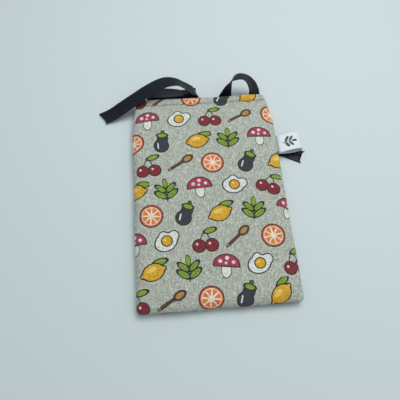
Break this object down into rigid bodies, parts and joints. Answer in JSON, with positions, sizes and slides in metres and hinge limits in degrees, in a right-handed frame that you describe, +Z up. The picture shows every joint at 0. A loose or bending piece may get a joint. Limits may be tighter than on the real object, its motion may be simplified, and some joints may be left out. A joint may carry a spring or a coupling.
{
  "type": "book sleeve",
  "caption": "Padded cloth book sleeve, open at one end, with ribbon ties sewn into its mouth and a folded label tab in its side seam.",
  "frame": {"origin": "on the surface that the sleeve lies on, under the middle of its cloth body", "axes": "+X across the sleeve towards the label, +Y from the foot to the open mouth, +Z up out of the front face"},
  "size_m": [0.2173, 0.2442, 0.0306],
  "materials": {
    "printed_cotton": "matt linen-look cotton with a small colour print",
    "batting": "soft needled wadding",
    "lining": "matt dark cotton",
    "thread": "polyester sewing thread",
    "ribbon": "black satin ribbon",
    "label_tape": "white satin tape"
  },
  "bodies": {
    "back": {"outer_back": "printed_cotton", "batting_back": "batting", "lining_back": "lining", "topstitch_back": "thread", "tie_back": "ribbon"},
    "front": {"outer_front": "printed_cotton", "batting_front": "batting", "lining_front": "lining", "topstitch_front": "thread", "tie_front": "ribbon"},
    "label": {"label_tab": "label_tape"}
  },
  "joints": [
    {"name": "mouth_open", "type": "hinge", "parent": "back", "child": "front", "pos_m": [0, -0.1115, 0.0063], "axis": [1, 0, 0], "range_deg": [0, 6]},
    {"name": "label_fold", "type": "hinge", "parent": "back", "child": "label", "pos_m": [0.0758, 0.05, 0.0078], "axis": [0, -1, 0], "range_deg": [-8, 70], "stiffness_Nm_per_rad": 0.003}
  ]
}
